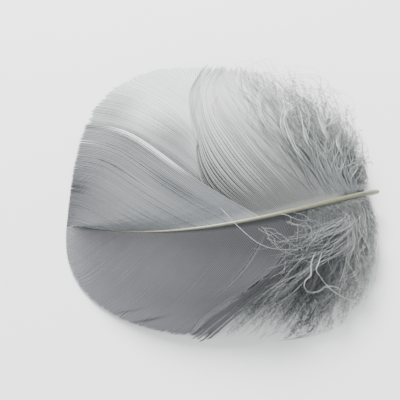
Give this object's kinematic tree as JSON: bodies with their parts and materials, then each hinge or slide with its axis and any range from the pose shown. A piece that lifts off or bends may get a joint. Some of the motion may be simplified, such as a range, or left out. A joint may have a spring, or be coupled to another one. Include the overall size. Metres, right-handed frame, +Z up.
{
  "type": "goose body feather",
  "caption": "Loose curved grey goose feather with a cream quill, broad webs that part in lobes and tangled down at the base, lying curved side up.",
  "frame": {"origin": "middle of the footprint, on the surface that the feather lies on", "axes": "+Z up, X along the quill with its bare base towards +X and the tip towards -X, +Y towards the wider far vane"},
  "size_m": [0.0738, 0.0688, 0.0165],
  "materials": {
    "quill_horn": "cream horn, satin, slightly see-through",
    "far_tip_web": "mid grey, fine slanting barbs, silky",
    "far_middle_web": "light grey, fine slanting barbs, silky",
    "far_base_web": "pale grey, ridged upswept barbs, silky",
    "far_fluff": "pale grey tangled down",
    "near_web": "slate grey, fine slanting barbs, silky",
    "near_strands": "slate grey loose strands",
    "near_fluff": "grey tangled down"
  },
  "bodies": {
    "root": {"quill": "quill_horn", "far_vane_tip": "far_tip_web", "far_vane_middle": "far_middle_web", "far_vane_base": "far_base_web", "far_down": "far_fluff", "near_vane": "near_web", "near_loose_barbs": "near_strands", "near_down": "near_fluff"}
  },
  "joints": []
}
